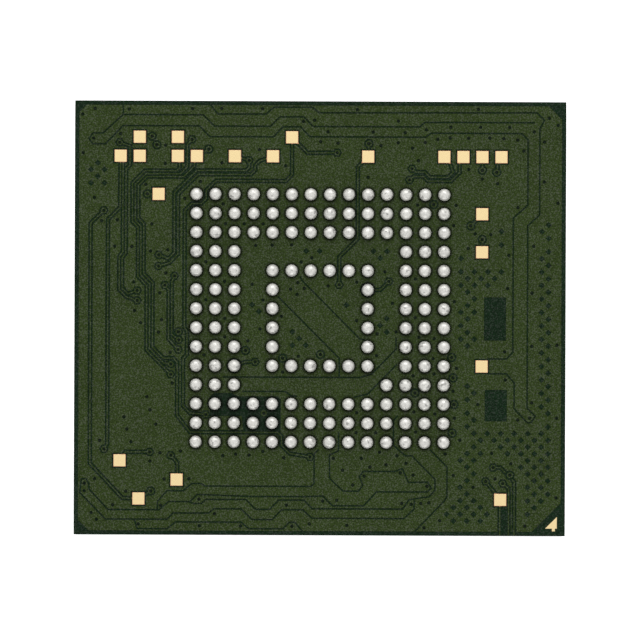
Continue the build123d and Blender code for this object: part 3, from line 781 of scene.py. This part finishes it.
class CHIP_OT_mask(bpy.types.Operator):
    """Solder mask of the ball side, stepped over the copper, with pits and openings"""

    bl_idname = "chip.mask"
    bl_label = "Solder mask"

    def execute(self, context):
        s = sizes()
        low, high = mask_low, mask_high
        board = np.array([[(low.x, low.y), (high.x, low.y), (high.x, high.y), (low.x, high.y)]])
        copper = level_triangles("bottom_copper", land_z)
        edge = 2 * s.shoulder
        # Painted shadow: the mask is darkened within this width round each ball
        shadow_width = 0.99 * ball_pitch

        def vias_and_links(extra):
            return [*rounds(sites(ring_vias), s.via_pad + extra, s.via_sides),
                    *strips(via_links, s.link_width + extra)]

        kinds = {
            "board": board,
            "copper": copper,
            "slope": shoulders(copper, s.shoulder),
            "cleared": [*vias_and_links(2 * s.via_clearance),
                        *rounds(degassing_places(), s.degassing_hole, sides=4, turn=0)],
            "near": [*vias_and_links(2 * s.via_clearance + edge),
                     *rounds(degassing_places(), s.degassing_hole + edge, sides=4, turn=0)],
            "conductor": vias_and_links(0.0),
            "core": vias_and_links(-edge),
            "pit": [*rounds(sites(plane_vias + ring_vias), s.via_pit, s.pit_sides),
                    *level_triangles("via_barrels", foot_z)],
            "painted_ball_shadow": rounds(ball_places(), shadow_width, s.ball_sides),
            "open": [*rounds(ball_places(), s.opening, s.ball_sides),
                     *squares(sites(test_pads), s.pad_opening),
                     sites(index_triangle), sites(index_stub)],
        }

        def heights_of(cover):
            plane = cover["copper"] & ~cover["cleared"]
            raised = cover["conductor"] | plane
            full = cover["core"] | (plane & ~cover["slope"] & ~cover["near"])
            upper = np.where(full, raised_level, np.where(raised, on_slope, in_dip))
            upper = np.where(cover["pit"] & raised, in_pit, upper)
            closed = cover["board"] & ~cover["open"]
            lower = np.where(cover["copper"], at_land, at_foot)
            return np.where(closed, upper, at_foot), np.where(closed, lower, at_foot)

        levels = (foot_z, land_z, mask_z - s.pit_depth, mask_z - s.dip_depth,
                  mask_z - s.slope_depth, mask_z)
        # Walls and underside take the pit colour: painted shade on the mask's steps
        mask = layered_solid("ball_side_mask", kinds, heights_of, levels, in_pit, ["painted_ball_shadow"])
        give(mask, mask_material())
        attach(mask, "root")
        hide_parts("bottom_solder_mask")
        return {"FINISHED"}


class CHIP_OT_balls(bpy.types.Operator):
    """Solder balls, each a little unlike its neighbours"""

    bl_idname = "chip.balls"
    bl_label = "Solder balls"

    def execute(self, context):
        s = sizes()
        places = ball_places()
        chance = np.random.default_rng(7)
        wide = 1 - s.ball_spread * chance.random((len(places), 1))
        tall = 1 - s.ball_sink * chance.random((len(places), 1))
        lean = (chance.random((len(places), 1, 2)) - 0.5) * s.ball_lean

        # A ring at latitude t is R cos t wide and R sin t above the middle, and the whole
        # is flattened to the height of the frame's balls. The neck is a little clear of the
        # mask's opening, and the lowest ring, on the land, is narrower by the same share.
        clear = 0.98
        radius, neck = s.ball / 2, clear * s.opening / 2
        rise = math.sqrt(radius ** 2 - neck ** 2)
        latitudes = np.array([-math.asin(rise / radius), *np.radians([0, 38, 66])])
        squash = (ball_top - mask_z) / (rise + radius)
        above = squash * (rise + radius * np.sin(latitudes)) * tall
        heights = np.concatenate([np.full((len(places), 1), land_z), mask_z + above], axis=1)
        scales = np.concatenate([np.full((len(places), 1), clear * neck),
                                 radius * np.cos(latitudes) * wide], axis=1)
        climb = (heights - land_z) / (ball_top - land_z)
        centres = places[:, None] + lean * climb[:, :, None]
        circle = rounds(np.zeros((1, 2)), 2.0, s.ball_sides)[0]
        balls = ringed_solids("balls", centres, circle, scales, heights, True)

        # Each face's ball: the sides of all balls come first, then all feet, then all crowns
        numbers = np.arange(len(places))
        end_owners = np.repeat(numbers, s.ball_sides)
        owner = np.concatenate([np.repeat(numbers, s.ball_sides * len(latitudes)), end_owners, end_owners])
        tone = balls.data.attributes.new("tone", "FLOAT", "FACE")
        tone.data.foreach_set("value", chance.random(len(places))[owner].astype(np.float32))
        give(balls, solder_material())
        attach(balls, "root")
        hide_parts("solder_balls")
        return {"FINISHED"}


class CHIP_OT_pads(bpy.types.Operator):
    """Gold test pads, pillowed towards their edges"""

    bl_idname = "chip.pads"
    bl_label = "Test pads"

    def execute(self, context):
        places = sites(test_pads)
        # A superellipse, (|cos t|^p, |sin t|^p) with signs, is a square with eased corners
        turn = np.arange(sizes().pad_points) * 2 * math.pi / sizes().pad_points
        wave = np.stack([np.cos(turn), np.sin(turn)], axis=1)
        outline = np.sign(wave) * np.abs(wave) ** sizes().pad_corner
        # Each ring's share of the width and of the height
        profile = np.array([(1.0, 0.0), (1.0, 0.5), (0.985, 0.9), (0.96, 1.0)])
        scales = np.tile(profile[:, 0] * sizes().pad / 2, (len(places), 1))
        heights = np.tile(land_z + (gold_z - land_z) * profile[:, 1], (len(places), 1))
        centres = np.repeat(places[:, None], len(profile), axis=1)
        pads = ringed_solids("gold_pads", centres, outline, scales, heights, False)
        give(pads, gold_material())
        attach(pads, "root")
        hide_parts("test_pad_gold")
        return {"FINISHED"}


class CHIP_OT_index(bpy.types.Operator):
    """Gold index triangle in the first ball's corner"""

    bl_idname = "chip.index"
    bl_label = "Index mark"

    def execute(self, context):
        give(frame["nodes"]["index_mark"], gold_material())
        return {"FINISHED"}


class CHIP_OT_board(bpy.types.Operator):
    """Laminate core, inner mask, copper layers and vias"""

    bl_idname = "chip.board"
    bl_label = "Board"

    def execute(self, context):
        nodes = frame["nodes"]
        copper = plain_material("copper_foil", colours().copper, 1.0, 0.45)
        inner = plain_material("inner_mask", colours().mask_dip, 0.0, 0.4)
        give(nodes["substrate_core"], laminate_material())
        give(nodes["top_solder_mask"], inner)
        for name in ("bottom_copper", "top_copper", "via_barrels"):
            give(nodes[name], copper)
        return {"FINISHED"}


class CHIP_OT_mould(bpy.types.Operator):
    """Moulded body with its marking face and sawn sides"""

    bl_idname = "chip.mould"
    bl_label = "Mould"

    def execute(self, context):
        give(frame["nodes"]["mould_cap"], mould_material())
        return {"FINISHED"}


class CHIP_OT_dies(bpy.types.Operator):
    """Dies, films and bond wires sealed in the mould"""

    bl_idname = "chip.dies"
    bl_label = "Dies and wires"

    def execute(self, context):
        silicon = plain_material("polished_silicon", colours().silicon, 0.6, 0.25)
        film = plain_material("attach_film", colours().film, 0.0, 0.6)
        wire = plain_material("bond_wire", colours().gold, 1.0, 0.3)
        for name, node in frame["nodes"].items():
            if name.endswith("wires"):
                give(node, wire)
            elif "film" in name:
                give(node, film)
            elif "die" in name:
                give(node, silicon)
        return {"FINISHED"}


class CHIP_OT_stage(bpy.types.Operator):
    """White studio: floor, soft dome, two panels and the camera above the chip"""

    bl_idname = "chip.stage"
    bl_label = "Stage"

    def execute(self, context):
        scene = context.scene
        studio_floor(half=0.4)
        scene.world = white_dome(strength=0.9)
        # Soft panels above the photograph's top and bottom edges
        soft_panel(scene, "upper_panel", 0.14, 0.11, power=0.22)
        soft_panel(scene, "lower_panel", -0.17, 0.05, power=0.11)
        scene.camera = photo_camera(scene, pixels=640, per_mm=38.09, centre_px=(319.98, 318.32),
                                    roll=math.radians(0.225))
        scene.view_settings.view_transform = "Standard"
        scene.view_settings.look = "None"
        return {"FINISHED"}


class CHIP_PT_panel(bpy.types.Panel):
    """Lists the pieces of the chip"""

    bl_label = "Chip"
    bl_idname = "CHIP_PT_panel"
    bl_space_type = "VIEW_3D"
    bl_region_type = "UI"
    bl_category = "Chip"

    def draw(self, context):
        for operator in operators:
            self.layout.operator(operator.bl_idname)
        for group in (context.scene.chip_sizes, context.scene.chip_colours):
            box = self.layout.box()
            for name in group.__annotations__:
                box.prop(group, name)


operators = (
    CHIP_OT_mask, CHIP_OT_balls, CHIP_OT_pads, CHIP_OT_index, CHIP_OT_board, CHIP_OT_mould,
    CHIP_OT_dies, CHIP_OT_stage,
)
classes = (ChipSizes, ChipColours, *operators, CHIP_PT_panel)


def register():
    """Registers the classes and their scene properties."""
    for kind in classes:
        bpy.utils.register_class(kind)
    bpy.types.Scene.chip_sizes = PointerProperty(type=ChipSizes)
    bpy.types.Scene.chip_colours = PointerProperty(type=ChipColours)


def unregister():
    """Takes the properties and classes away again."""
    del bpy.types.Scene.chip_colours
    del bpy.types.Scene.chip_sizes
    for kind in reversed(classes):
        bpy.utils.unregister_class(kind)


def main():
    register()
    bpy.ops.chip.mask()
    bpy.ops.chip.balls()
    bpy.ops.chip.pads()
    bpy.ops.chip.index()
    bpy.ops.chip.board()
    bpy.ops.chip.mould()
    bpy.ops.chip.dies()
    bpy.ops.chip.stage()


if __name__ == "__main__":
    main()
